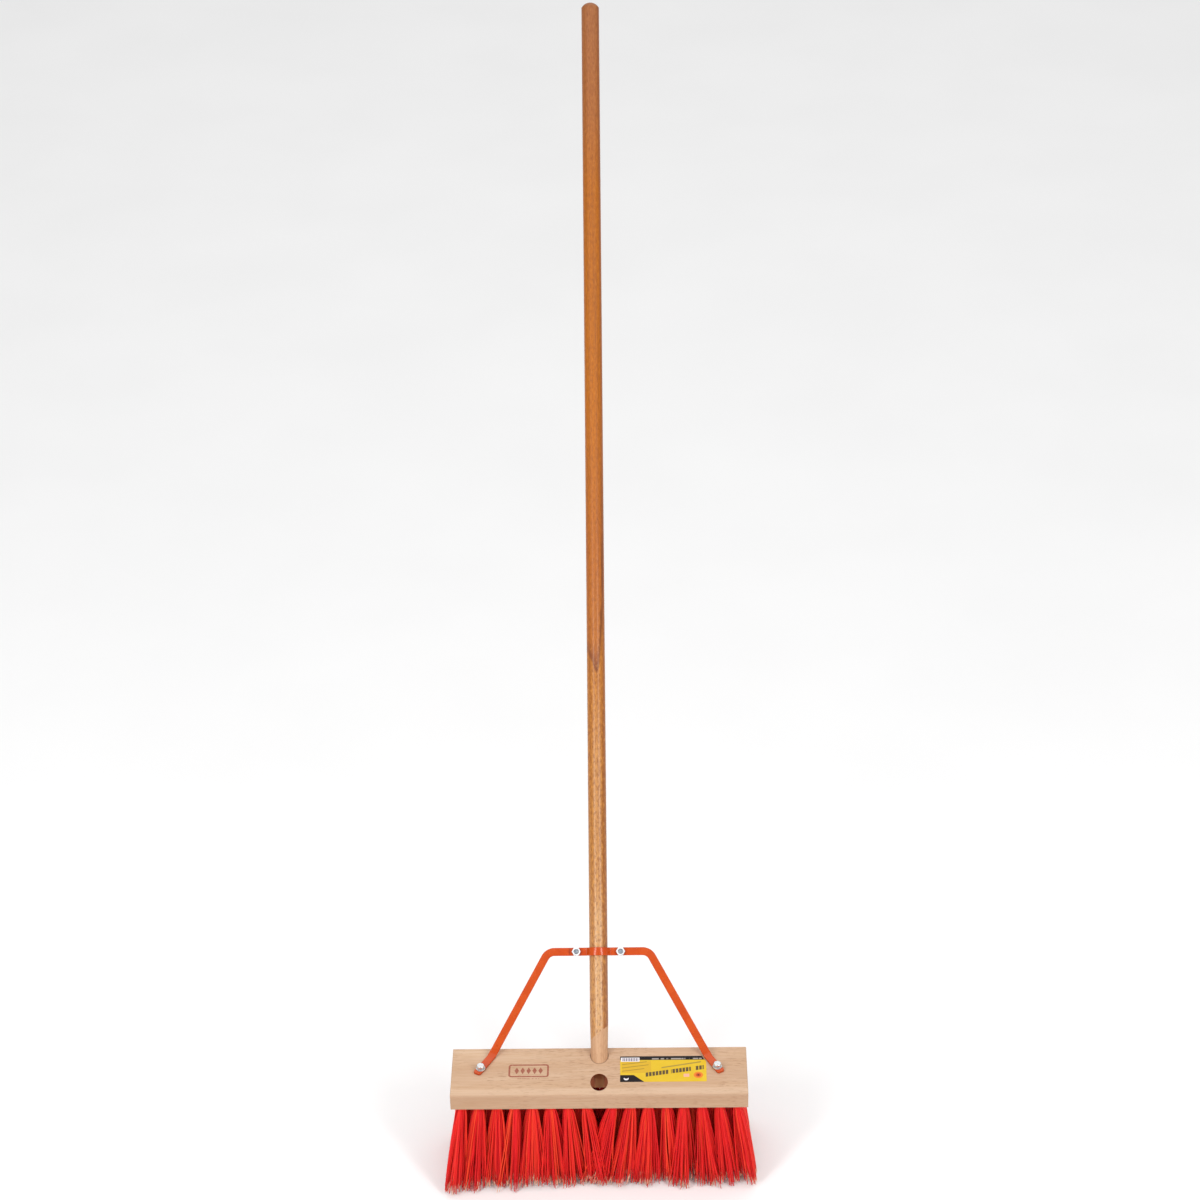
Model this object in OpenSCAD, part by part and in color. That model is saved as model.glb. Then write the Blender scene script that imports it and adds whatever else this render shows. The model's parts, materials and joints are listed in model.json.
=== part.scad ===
// Street push broom: a hardwood head set with staple-drawn tufts, a long wooden handle in an
// inclined socket, and a two-arm steel strap brace bolted round the handle.
// Axes: +Z up, +X along the head, the front of the head towards -Y. The handle leans to +Y.
// Origin: on the floor under the middle of the head, in the plane of the bristle tips.

/* [Head block] */
// Length of the head block, end to end
block_length = 406.4; // [398:0.1:440]
// Width of the head block, front to back
block_width = 95.2; // [94:0.1:110]
// Thickness of the head block
block_thick = 25.4; // [24.8:0.1:30]
// Radius of the block's eased edges
edge_ease = 1.2; // [0.5:0.1:2.5]

/* [Bristles] */
// Trim: height of the block's underside above the floor
trim = 133; // [90:1:160]
// Distance between neighbouring tufts in one row
tuft_pitch = 24.2; // [23.8:0.1:24.4]
// Distance from the block's middle to the first tuft of an outer row
first_tuft = 19; // [18:0.1:20]
// Distance between rows, front to back
row_pitch = 18; // [16.5:0.1:18.5]
// Tufts on each side of the middle in rows 1, 3 and 5
long_half = 8; // [6:1:8]
// Diameter of a tuft hole
tuft_hole_d = 9.2; // [8.6:0.1:9.6]
// Depth of a tuft hole
tuft_hole_depth = 14; // [12:0.5:14]
// Diameter of a tuft at the floor
tuft_tip_d = 16.4; // [12:0.1:17]
// Extra lean of each row beyond the one nearer the middle, in degrees
row_flare = 3.5; // [2:0.5:4.5]
// Outward lean of the end tufts, in degrees
end_flare = 5; // [2:0.5:6]

/* [Handle] */
// Total length of the handle
handle_length = 1524; // [1200:1:1600]
// Diameter of the handle
handle_d = 25.4; // [25:0.1:26]
// Diameter of the handle's foot in its socket
foot_d = 23.6; // [23:0.1:23.9]
// Height of the domed top
dome_height = 7.8; // [6:0.1:10]
// Lean of the handle from the block's normal, in degrees
handle_lean = 40; // [38:0.1:42]

/* [Sockets] */
// Diameter of both inclined sockets
socket_d = 24.2; // [24:0.1:24.6]
// Distance from the middle of the block to the handle socket's mouth
socket_y = 31.2; // [30:0.1:31.4]
// Depth of the handle socket along its axis
socket_depth = 21; // [19:0.1:22]
// Distance from the middle of the block to the spare socket's mouth
spare_y = 22.3; // [21:0.1:23]
// Lean of the spare socket from the block's normal, in degrees
spare_lean = 45; // [40:0.5:46]
// Depth of the spare socket along its axis, which breaks through the underside
spare_depth = 30; // [27:0.1:30.5]

/* [Brace] */
// Width of the steel strap
strap_width = 11.1; // [10:0.1:12.7]
// Thickness of the steel strap
strap_thick = 3; // [2.5:0.1:3.2]
// Distance from the middle to the bend at the top of each arm
corner_x = 70; // [65:0.5:76]
// Distance from the block's top to the clamp, along the handle
clamp_height = 143; // [130:0.5:160]
// Angle of the sloping arms from the handle's direction, in degrees
arm_angle = 29; // [26:0.5:30]
// Distance from the block's middle to the line where the arms fold, front to back
fold_y = 26.5; // [24:0.5:28]
// Distance from the block's middle to the foot screws, front to back
screw_y = 4.2; // [3:0.1:8]
// Distance from the handle's axis to each clamp bolt
bolt_x = 30.7; // [28:0.1:34]

/* [Label] */
// Length of the label
label_length = 118.4; // [100:0.1:118.4]
// Width of the label
label_width = 51.4; // [40:0.1:52]

/* [Hidden] */
$fn = 64;

block_top = trim + block_thick;
rows = 5;
middle_row = (rows + 1) / 2;
running_gap = 0.05; // radial clearance of a close-fitting piece

// The tufts
tuft_plug_d = tuft_hole_d - 2 * running_gap;
tuft_plug_length = tuft_hole_depth - 0.2;
tuft_reach = trim * 1.1; // long enough to be trimmed level at the floor
staple_thick = 1.2;
staple_height = 4.2;
staple_length = tuft_plug_d - 0.4;
end_tuft_x = first_tuft + (long_half - 1) * tuft_pitch;

// The handle
taper_start = 12; // where the foot's straight stretch ends above the block
taper_end = 48; // where the handle has its full diameter
handle_top = handle_length - socket_depth;
dome_radius = (handle_d * handle_d / 4 + dome_height * dome_height) / (2 * dome_height);

// The brace's own frame: origin on the fold line, z up the arms' plane, -y towards the front
clamp_y = socket_y + clamp_height * sin(handle_lean);
clamp_rise = clamp_height * cos(handle_lean);
brace_lean = atan((clamp_y - fold_y) / clamp_rise);
clamp_z = norm([clamp_y - fold_y, clamp_rise]);
fold_angle = 90 - brace_lean;
fold_inner_radius = 5;
fold_mid_radius = fold_inner_radius + strap_thick / 2;
edge_bend_radius = 15; // edgewise bend at the top of each arm, on the strap's middle line
collar_radius = handle_d / 2 + 0.3 + strap_thick / 2;
collar_fillet = 3.5;
fillet_x = sqrt(pow(collar_radius + collar_fillet, 2) - pow(strap_thick / 2 + collar_fillet, 2));
fillet_angle = atan((strap_thick / 2 + collar_fillet) / fillet_x);
tail_length = 8.7; // strap beyond a clamp bolt
foot_tail = 11; // strap beyond a foot screw
end_round = 3.2; // rounding of the strap's end corners
strap_edge = 0.6; // rounding of the strap's long edges

// Fasteners
bolt_d = 6.35;
bolt_hole_d = 6.8;
bolt_head_height = 4.4;
bolt_head_af = 11.1;
nut_height = 5.6;
bolt_proud = 2.2; // bolt end standing out of its nut
screw_d = 4.8;
screw_hole_d = 5.3;
screw_bite = 9.5; // length of screw in the wood
screw_flange_d = 13.2;
screw_flange_thick = 1.3;
screw_head_af = 9.5;
screw_head_height = 4.6;

label_thick = 0.25;
label_x = 28.8; // left edge
label_y = -22.4; // front edge

// ---- Head block ----

// Rectangle with rounded corners, centred
module eased_rect(length, width) {
  square([length - 2 * edge_ease, width], center = true);
  square([length, width - 2 * edge_ease], center = true);
  for (sx = [-1, 1], sy = [-1, 1])
    translate([sx * (length / 2 - edge_ease), sy * (width / 2 - edge_ease)])
      circle(r = edge_ease);
}

// Block with all twelve edges eased, centred
module eased_block() {
  intersection() {
    linear_extrude(block_thick, center = true)
      eased_rect(block_length, block_width);
    rotate([90, 0, 0])
      linear_extrude(block_width, center = true)
        eased_rect(block_length, block_thick);
    rotate([90, 0, 90])
      linear_extrude(block_length, center = true)
        eased_rect(block_width, block_thick);
  }
}

// Inclined blind bore of a socket, open well above the block's top
module socket_bore(y, lean, depth) {
  translate([0, y, block_top])
    rotate([-lean, 0, 0])
      translate([0, 0, -depth])
        cylinder(h = depth + 2 * socket_d, d = socket_d);
}

module block() {
  color([0.85, 0.72, 0.60])
    difference() {
      translate([0, 0, trim + block_thick / 2])
        eased_block();
      socket_bore(socket_y, handle_lean, socket_depth);
      socket_bore(-spare_y, -spare_lean, spare_depth);
      for (row = [1:rows])
        at_tufts(row)
          translate([0, 0, -1])
            cylinder(h = tuft_hole_depth + 1, d = tuft_hole_d);
      for (side = [-1, 1])
        translate([foot_screw_x(side), screw_y, block_top - screw_bite - running_gap])
          cylinder(h = screw_bite + 1, d = screw_d + 2 * running_gap);
    }
}

// ---- Bristles ----

// x of every tuft in a row: the even rows sit in the gaps of the odd ones
function tuft_xs(row) =
  let (
    even = row % 2 == 0,
    count = even ? long_half - 1 : long_half,
    start = even ? first_tuft + tuft_pitch / 2 : first_tuft
  )
  [for (side = [-1, 1], k = [0:count - 1]) side * (start + k * tuft_pitch)];

function row_y(row) = (row - middle_row) * row_pitch;

// Puts its children at each tuft hole's mouth, with +Z up the hole
module at_tufts(row) {
  for (x = tuft_xs(row))
    translate([x, row_y(row), trim])
      rotate([(row - middle_row) * row_flare, -end_flare * x / end_tuft_x, 0])
        children();
}

module tuft() {
  difference() {
    union() {
      cylinder(h = tuft_plug_length, d = tuft_plug_d);
      translate([0, 0, -tuft_reach])
        cylinder(h = tuft_reach, d1 = tuft_tip_d + (tuft_tip_d - tuft_plug_d) * 0.1, d2 = tuft_plug_d);
    }
    translate([-tuft_plug_d, -staple_thick / 2 - running_gap, tuft_plug_length - staple_height])
      cube([2 * tuft_plug_d, staple_thick + 2 * running_gap, staple_height + 1]);
  }
}

module bristle_row(row) {
  color([0.86, 0.14, 0.11])
    intersection() {
      at_tufts(row)
        tuft();
      translate([-block_length, -block_width * 2, 0])
        cube([2 * block_length, 4 * block_width, block_top]);
    }
}

// One flat-wire staple per tuft, across the fold of its fibres
module staple_row(row) {
  color([0.72, 0.72, 0.74])
    at_tufts(row)
      translate([-staple_length / 2, -staple_thick / 2, tuft_plug_length - staple_height])
        cube([staple_length, staple_thick, staple_height]);
}

// ---- Handle ----

// Puts its children in the handle's frame: origin at the socket's mouth, +Z up the handle
module on_handle() {
  translate([0, socket_y, block_top])
    rotate([-handle_lean, 0, 0])
      children();
}

module handle() {
  color([0.76, 0.49, 0.27])
    on_handle()
      union() {
        translate([0, 0, -socket_depth])
          cylinder(h = socket_depth + taper_start, d = foot_d);
        translate([0, 0, taper_start])
          cylinder(h = taper_end - taper_start, d1 = foot_d, d2 = handle_d);
        translate([0, 0, taper_end])
          cylinder(h = handle_top - dome_height - taper_end, d = handle_d);
        intersection() {
          translate([0, 0, handle_top - dome_height])
            cylinder(h = dome_height, d = handle_d);
          translate([0, 0, handle_top - dome_radius])
            sphere(r = dome_radius);
        }
      }
}

// ---- Brace ----

// Puts its children in the brace's frame
module on_brace() {
  translate([0, fold_y, block_top])
    rotate([-brace_lean, 0, 0])
      children();
}

// Each arm is a swept strap. side is 1 for the right arm, whose collar passes in front of the
// handle, and -1 for the left arm, whose collar passes behind it.

// Bend axis of an arm's fold, in the brace's frame
function fold_axis_y(side) = -fold_inner_radius - (side > 0 ? strap_thick : 0);
function fold_axis_z(side) =
  (fold_inner_radius + strap_thick + fold_axis_y(side) * sin(brace_lean)) / cos(brace_lean);

// Where a foot's screw lies along the unfolded arm (negative is beyond the fold), and its x
function fold_arc() = fold_angle * PI / 180 * fold_mid_radius;
function foot_start_y(side) =
  fold_y + fold_axis_y(side) * cos(brace_lean) + fold_axis_z(side) * sin(brace_lean);
function screw_station(side) =
  fold_axis_z(side) - fold_arc() - (foot_start_y(side) - screw_y);
function arm_x(z) = corner_x + (clamp_z - z) * tan(arm_angle);
function foot_screw_x(side) = side * arm_x(screw_station(side));

// Folds a point of the flat arm round the bend axis, so that the foot lies on the block
function folded(p, side) =
  let (
    beyond = max(0, fold_axis_z(side) - p.z),
    angle = min(fold_angle, beyond / fold_mid_radius * 180 / PI),
    extra = max(0, beyond - fold_arc()),
    depth = p.y - fold_axis_y(side)
  )
  [
    p.x,
    fold_axis_y(side) + depth * cos(angle) - extra * sin(angle),
    max(p.z, fold_axis_z(side)) - depth * sin(angle) - extra * cos(angle)
  ];

// Strap cross-section as [across, through] points, with rounded long edges. narrow takes
// the given amount off each side, to round an end.
function strap_section(narrow) =
  let (half = strap_width / 2 - narrow)
  [
    for (q = [0:3], a = [0, 45, 90])
      let (sx = q == 0 || q == 3 ? 1 : -1, sy = q < 2 ? 1 : -1)
      [
        sx * (half - strap_edge) + strap_edge * cos(q * 90 + a),
        sy * (strap_thick / 2 - strap_edge) + strap_edge * sin(q * 90 + a)
      ]
  ];

// How much a rounded end takes off the strap's half width at a distance from the end
function end_narrow(s) = s >= end_round ? 0 : end_round - sqrt(s * (2 * end_round - s));

// A station is [centre, across direction, through direction, narrow], for the right arm laid flat
collar_stations = concat(
  [
    for (a = [90:-15:fillet_angle])
      [
        [-fillet_x + collar_fillet * cos(a), -strap_thick / 2 - collar_fillet * (1 - sin(a)), clamp_z],
        [0, 0, 1], [cos(a), sin(a), 0], 0
      ]
  ],
  [
    for (k = [0:16])
      let (a = fillet_angle + k * (180 - 2 * fillet_angle) / 16)
      [
        [-collar_radius * cos(a), -collar_radius * sin(a), clamp_z],
        [0, 0, 1], [cos(a), sin(a), 0], 0
      ]
  ],
  [
    for (a = [fillet_angle + (90 - fillet_angle) % 15:15:90])
      if (a > fillet_angle + 1)
        [
          [fillet_x - collar_fillet * cos(a), -strap_thick / 2 - collar_fillet * (1 - sin(a)), clamp_z],
          [0, 0, 1], [-cos(a), sin(a), 0], 0
        ]
  ]
);

tail_stations = [
  for (s = [0.15, 0.5, 1.2, 2.2, end_round])
    [[-bolt_x - tail_length + s, -strap_thick / 2, clamp_z], [0, 0, 1], [0, 1, 0], end_narrow(s)]
];

bend_tangent = edge_bend_radius * tan((90 - arm_angle) / 2);
corner_stations = [
  for (k = [0:12])
    let (a = 90 - k * (90 - arm_angle) / 12)
    [
      [
        corner_x - bend_tangent + edge_bend_radius * cos(a),
        -strap_thick / 2,
        clamp_z - edge_bend_radius * (1 - sin(a))
      ],
      [cos(a), 0, sin(a)], [0, 1, 0], 0
    ]
];

// Stations down the slope, close together through the fold, and out to the foot's rounded end
function slope_stations(side) =
  let (
    last = screw_station(side) - foot_tail * cos(arm_angle),
    fold_top = fold_axis_z(side) + 4,
    fold_end = fold_axis_z(side) - fold_arc() - 4,
    heights = concat(
      [for (k = [0:24]) fold_top + (fold_end - fold_top) * k / 24],
      [for (s = [end_round, 2.2, 1.2, 0.5, 0.15]) last + s * cos(arm_angle)]
    )
  )
  [
    for (z = heights)
      [
        [arm_x(z), -strap_thick / 2, z],
        [cos(arm_angle), 0, sin(arm_angle)], [0, 1, 0],
        end_narrow((z - last) / cos(arm_angle))
      ]
  ];

function station_ring(s) =
  [for (p = strap_section(s[3])) s[0] + p[0] * s[1] + p[1] * s[2]];

// Turns a point of the right arm's pattern half a turn about the handle for the left arm
function turned(p, side) = [side * p.x, side * p.y, p.z];

// Closed sweep through rings of equal length
module swept_strap(rings) {
  count = len(rings[0]);
  last = len(rings) - 1;
  polyhedron(
    points = [for (ring = rings, p = ring) p],
    faces = concat(
      [[for (j = [count - 1:-1:0]) j]],
      [[for (j = [0:count - 1]) last * count + j]],
      [
        for (i = [0:last - 1], j = [0:count - 1], half = [0, 1])
          let (a = i * count + j, b = i * count + (j + 1) % count)
          half == 0 ? [a, b, a + count] : [b, b + count, a + count]
      ]
    ),
    convexity = 6
  );
}

module brace_arm(side) {
  stations = concat(tail_stations, collar_stations, corner_stations, slope_stations(side));
  rings = [for (s = stations) [for (p = station_ring(s)) folded(turned(p, side), side)]];
  color([0.92, 0.33, 0.13])
    difference() {
      on_brace()
        swept_strap(rings);
      for (bolt_side = [-1, 1])
        at_bolt(bolt_side)
          cylinder(h = 4 * strap_thick, d = bolt_hole_d, center = true);
      translate([foot_screw_x(side), screw_y, block_top - 1])
        cylinder(h = strap_thick + 2, d = screw_hole_d);
    }
}

// ---- Clamp bolts and nuts ----

// Puts its children at a clamp bolt: origin between the straps, +Z towards the front
module at_bolt(side) {
  on_brace()
    translate([side * bolt_x, 0, clamp_z])
      rotate([90, 0, 0])
        children();
}

// Hexagonal prism with a chamfered top, standing on z = 0
module hex_head(across_flats, height) {
  corner_r = across_flats / sqrt(3);
  intersection() {
    cylinder(h = height, r = corner_r, $fn = 6);
    cylinder(h = height, r1 = corner_r + height, r2 = across_flats * 0.48);
  }
}

module clamp_bolt(side) {
  color([0.75, 0.76, 0.78])
    at_bolt(side)
      union() {
        translate([0, 0, -strap_thick])
          rotate([180, 0, 0])
            hex_head(bolt_head_af, bolt_head_height);
        translate([0, 0, -strap_thick])
          cylinder(h = 2 * strap_thick + nut_height + bolt_proud - 0.6, d = bolt_d);
        translate([0, 0, strap_thick + nut_height + bolt_proud - 0.6])
          cylinder(h = 0.6, d1 = bolt_d, d2 = bolt_d - 1.2);
      }
}

module clamp_nut(side) {
  color([0.80, 0.81, 0.83])
    at_bolt(side)
      translate([0, 0, strap_thick])
        difference() {
          hex_head(bolt_head_af, nut_height);
          translate([0, 0, -1])
            cylinder(h = nut_height + 2, d = bolt_d + 2 * running_gap);
        }
}

// ---- Foot screws ----

module foot_screw(side) {
  color([0.78, 0.79, 0.81])
    translate([foot_screw_x(side), screw_y, block_top + strap_thick])
      union() {
        cylinder(h = screw_flange_thick, d1 = screw_flange_d, d2 = screw_flange_d - 0.8);
        translate([0, 0, screw_flange_thick])
          hex_head(screw_head_af, screw_head_height);
        translate([0, 0, 3 - strap_thick - screw_bite])
          cylinder(h = strap_thick + screw_bite - 3, d = screw_d);
        translate([0, 0, -strap_thick - screw_bite])
          cylinder(h = 3, d1 = 0.8, d2 = screw_d);
      }
}

// ---- Label ----

// Thin label on the block's top, its far corner trimmed where the right foot crosses it
module product_label() {
  trimmed_x = 6;
  trimmed_y = 11;
  color([0.90, 0.77, 0.20])
    translate([label_x, label_y, block_top])
      linear_extrude(label_thick)
        polygon([
          [0, 0],
          [label_length, 0],
          [label_length, label_width - trimmed_y],
          [label_length - trimmed_x, label_width],
          [0, label_width]
        ]);
}

block();
handle();
brace_arm(-1);  // brace_arm_left
brace_arm(1);  // brace_arm_right
clamp_bolt(-1);  // clamp_bolt_left
clamp_bolt(1);  // clamp_bolt_right
clamp_nut(-1);  // clamp_nut_left
clamp_nut(1);  // clamp_nut_right
foot_screw(-1);  // foot_screw_left
foot_screw(1);  // foot_screw_right
product_label();
bristle_row(1);  // bristle_row_1
bristle_row(2);  // bristle_row_2
bristle_row(3);  // bristle_row_3
bristle_row(4);  // bristle_row_4
bristle_row(5);  // bristle_row_5
staple_row(1);  // staple_row_1
staple_row(2);  // staple_row_2
staple_row(3);  // staple_row_3
staple_row(4);  // staple_row_4
staple_row(5);  // staple_row_5
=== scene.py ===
"""Push broom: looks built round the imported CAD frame.

Metres, +Z up, the head along X with its front towards -Y, the handle leaning to +Y.
The block, fasteners, label and staples keep their CAD meshes and get materials. The handle is
turned again with finer facets, the brace arms are copies shaded smooth, and each row of solid
tufts is replaced by its separate fibres.
"""

import json
import math

import bmesh
import bpy
import numpy as np
from mathutils import Matrix, Vector


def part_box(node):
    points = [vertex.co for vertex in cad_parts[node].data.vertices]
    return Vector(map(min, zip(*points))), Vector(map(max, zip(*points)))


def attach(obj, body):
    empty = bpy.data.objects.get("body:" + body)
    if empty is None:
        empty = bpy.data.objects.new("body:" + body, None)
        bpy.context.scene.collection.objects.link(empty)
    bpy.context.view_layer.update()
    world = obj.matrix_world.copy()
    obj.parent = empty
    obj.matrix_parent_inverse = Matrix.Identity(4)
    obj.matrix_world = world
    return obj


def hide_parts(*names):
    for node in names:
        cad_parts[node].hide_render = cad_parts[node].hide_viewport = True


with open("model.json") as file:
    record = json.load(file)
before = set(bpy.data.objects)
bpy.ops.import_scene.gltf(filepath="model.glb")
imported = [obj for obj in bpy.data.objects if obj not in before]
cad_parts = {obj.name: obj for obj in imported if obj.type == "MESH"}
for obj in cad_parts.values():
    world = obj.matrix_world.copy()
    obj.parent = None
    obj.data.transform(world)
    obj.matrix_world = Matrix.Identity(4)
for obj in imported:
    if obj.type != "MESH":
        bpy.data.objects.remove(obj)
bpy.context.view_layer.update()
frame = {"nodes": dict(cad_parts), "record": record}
BLOCK_LOW, BLOCK_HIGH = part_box("block")
MM = 0.001


# ---- Reading the frame ----

def node_points(node):
    """Every vertex of a CAD node, as an array."""
    mesh = frame["nodes"][node].data
    points = np.empty(len(mesh.vertices) * 3, np.float32)
    mesh.vertices.foreach_get("co", points)
    return points.reshape(-1, 3).astype(float)


def cluster_centres(points, gap):
    """Centres of the groups that points fall into along X, left to right."""
    points = points[points[:, 0].argsort()]
    cuts = np.flatnonzero(np.diff(points[:, 0]) > gap) + 1
    return np.array([(g.min(axis=0) + g.max(axis=0)) / 2 for g in np.split(points, cuts)])


def frame_along(axis, origin):
    """The frame at origin with +Z along a unit axis and +X along the head."""
    side = Vector((1, 0, 0))
    matrix = Matrix((side, axis.cross(side), axis)).transposed().to_4x4()
    matrix.translation = Vector(origin)
    return matrix


def turned_shape(node):
    """Frame and outline of a turned CAD node.

    The matrix has its origin at the foot's centre and +Z along the axis. The outline is a
    list of (height, radius) pairs up to the rim of the domed top, with the dome's height last.
    """
    points = np.unique(node_points(node).round(6), axis=0)
    rough_axis = np.linalg.svd(points - points.mean(axis=0), full_matrices=False)[2][0]
    along = points @ (rough_axis * np.sign(rough_axis[2]))
    foot = points[along < along.min() + MM].mean(axis=0)
    tip = points[along.argmax()]
    axis = (tip - foot) / np.linalg.norm(tip - foot)
    heights = (points - foot) @ axis
    radii = np.linalg.norm(points - foot - np.outer(heights, axis), axis=1)
    near, least_radius = 0.05 * MM, 5 * MM
    rim = heights[radii > radii.max() - near].max()
    outline = {
        round(height, 4): radius for height, radius in zip(heights, radii)
        if height < rim + near and radius > least_radius
    }
    return frame_along(Vector(axis), foot), sorted(outline.items()), heights.max() - rim


# ---- Building pieces ----

def new_piece(name, points, faces, material, replaced):
    """A mesh that rides on the broom in place of a CAD node."""
    mesh = bpy.data.meshes.new(name)
    mesh.from_pydata(points, [], faces)
    mesh.polygons.foreach_set("use_smooth", [True] * len(mesh.polygons))
    mesh.materials.append(material)
    piece = bpy.data.objects.new(name, mesh)
    bpy.context.scene.collection.objects.link(piece)
    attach(piece, "root")
    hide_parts(replaced)
    return piece


def mark_sharp(piece, angle):
    """Edges that turn more than angle stay crisp, and flat faces keep flat shading."""
    mesh = piece.data
    shape = bmesh.new()
    shape.from_mesh(mesh)
    for edge in shape.edges:
        edge.smooth = edge.calc_face_angle(math.pi) < angle
    shape.to_mesh(mesh)
    shape.free()
    weighted = piece.modifiers.new("even_normals", "WEIGHTED_NORMAL")
    weighted.keep_sharp = True


def turned_handle(name, node, material):
    """The handle turned again with finer facets than its CAD mesh has."""
    segments = 96
    dome_steps = 14
    matrix, outline, dome = turned_shape(node)
    rim_height, rim_radius = outline[-1]
    dome_radius = (rim_radius ** 2 + dome ** 2) / (2 * dome)
    half_angle = math.asin(rim_radius / dome_radius)
    arc = [half_angle * (1 - step / dome_steps) for step in range(1, dome_steps)]
    outline += [
        (rim_height + dome - dome_radius * (1 - math.cos(a)), dome_radius * math.sin(a)) for a in arc
    ]
    turns = [2 * math.pi * j / segments for j in range(segments)]
    points = [matrix @ Vector((r * math.cos(t), r * math.sin(t), h)) for h, r in outline for t in turns]
    points.append(matrix @ Vector((0, 0, rim_height + dome)))
    faces = [list(range(segments - 1, -1, -1))]
    for ring in range(len(outline) - 1):
        for j in range(segments):
            a, b = ring * segments + j, ring * segments + (j + 1) % segments
            faces.append([a, b, b + segments, a + segments])
    last = (len(outline) - 1) * segments
    faces += [[last + j, last + (j + 1) % segments, len(points) - 1] for j in range(segments)]
    piece = new_piece(name, points, faces, material, node)
    mark_sharp(piece, math.radians(40))


def smooth_copy(name, node, material):
    """A welded copy of a CAD node whose curved runs are shaded smooth."""
    shape = bmesh.new()
    shape.from_mesh(frame["nodes"][node].data)
    bmesh.ops.remove_doubles(shape, verts=shape.verts, dist=0.005 * MM)
    shape.verts.index_update()
    points = [v.co.copy() for v in shape.verts]
    faces = [[v.index for v in face.verts] for face in shape.faces]
    shape.free()
    piece = new_piece(name, points, faces, material, node)
    mark_sharp(piece, math.radians(50))


# ---- Bristles ----

CLUMPS = 50  # in each tuft
FIBRES_IN_CLUMP = 3
FIBRE_RADIUS = 0.68 * MM
FIBRE_SIDES = 5
FIBRE_RINGS = 8
RING_SHARES = np.linspace(0, 1, FIBRE_RINGS) ** 1.5  # closer together near the block
SUNK = 3 * MM  # how far each fibre runs up into its hole
WIDEST_AT_BLOCK = 203 * MM  # how far any fibre reaches to either side, under the block
WIDEST_AT_TIPS = 218.5 * MM


def disc_points(rng, count, radius):
    """Random points over a disc, a little denser towards its rim."""
    distance = radius * rng.random(count) ** 0.42
    turn = rng.random(count) * 2 * math.pi
    return np.stack([distance * np.cos(turn), distance * np.sin(turn)], axis=1)


def tuft_slopes(mouths, ends, rng):
    """How far each tuft runs sideways for each metre down, as x and y.

    The tufts next to the bare middle close in over it, and the rest lean outwards a little
    more than their CAD solids. The left end is combed forwards and the right end back.
    """
    x = mouths[:, 0]
    slopes = (ends - mouths)[:, :2] / (mouths - ends)[:, 2:]
    from_middle = (abs(x) - abs(x).min()) / (abs(x).max() - abs(x).min())
    left_lean, right_lean = 0.15, 0.22
    closing_in = np.where(x < 0, left_lean, right_lean) * np.exp(-from_middle * 3.2)
    leaning_out = 0.05 * from_middle
    slopes[:, 0] += np.sign(x) * (leaning_out - closing_in)
    combed_back = 0.03 * x / abs(x).max()
    left_end_forwards = 0.09 * np.exp(-(x - x.min()) / (16 * MM))
    slopes[:, 1] += combed_back - left_end_forwards
    spread = (0.028, 0.015)
    slopes += rng.normal(0, spread, slopes.shape)
    return slopes


def soft_limit(x, widest, room):
    """x with its last room before the widest allowed squeezed, so that nothing passes it."""
    over = np.maximum(abs(x) - (widest - room), 0)
    return np.sign(x) * (abs(x) - over + room * (1 - np.exp(-over / room)))


def fibre_lines(mouth, slope, rng):
    """Centre points and tone of every fibre in one tuft, as arrays.

    Fibres come in small clumps. They splay quickly over the hole's rim and run on nearly
    straight, to ragged ends. The back rows stay within the block's ends for longer.
    """
    count = CLUMPS * FIBRES_IN_CLUMP
    reach = mouth[2]
    clump = np.repeat(np.arange(CLUMPS), FIBRES_IN_CLUMP)
    tuft_radius, clump_radius = 3.2 * MM, 0.9 * MM
    clump_place = disc_points(rng, CLUMPS, tuft_radius)[clump]
    own_place = disc_points(rng, count, clump_radius)

    def varied(of_clumps, of_fibres):
        """Sideways values that vary from clump to clump and from fibre to fibre."""
        return rng.normal(0, of_clumps, (CLUMPS, 2))[clump] + rng.normal(0, of_fibres, (count, 2))

    own_slope = slope + varied(0.020, 0.015)
    bow = varied(0.9 * MM, 0.5 * MM)
    tuft_cut = rng.exponential(2.5 * MM)
    clump_cut = abs(rng.normal(0, 4.4 * MM, CLUMPS))[clump]
    cut = tuft_cut + clump_cut + rng.exponential(1.4 * MM, count)
    depth = RING_SHARES * (reach - cut + SUNK)[:, None] - SUNK
    below = np.maximum(depth, 0)
    part_way = below / reach
    own_splay = 1 + 2.2 * part_way - 1.8 * part_way ** 7  # clumps open, then close at their tips
    over_rim = 1.15 * (1 - np.exp(-below / (7 * MM)))
    sideways_fan, forwards_fan = 3.9, 2.6
    lines = np.empty((count, FIBRE_RINGS, 3))
    for axis, fan in enumerate((sideways_fan, forwards_fan)):
        splay = 1 + over_rim + fan * part_way ** 1.2
        lines[:, :, axis] = (
            mouth[axis]
            + clump_place[:, axis, None] * splay
            + own_place[:, axis, None] * own_splay
            + own_slope[:, axis, None] * below
            + bow[:, axis, None] * np.sin(math.pi * part_way)
        )
    lines[:, :, 2] = reach - depth
    held_in = max(0.8 * (mouth[1] - BLOCK_LOW.y) - 6 * MM, 0)
    free = np.clip((below - held_in) / reach, 0, 1)
    widest = WIDEST_AT_BLOCK + (WIDEST_AT_TIPS - WIDEST_AT_BLOCK) * free
    lines[:, :, 0] = soft_limit(lines[:, :, 0], widest, 10 * MM)
    clump_tone = rng.normal(0.5, 0.12, CLUMPS)[clump]
    return lines, np.clip(clump_tone + rng.normal(0, 0.15, count), 0, 1)


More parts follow.
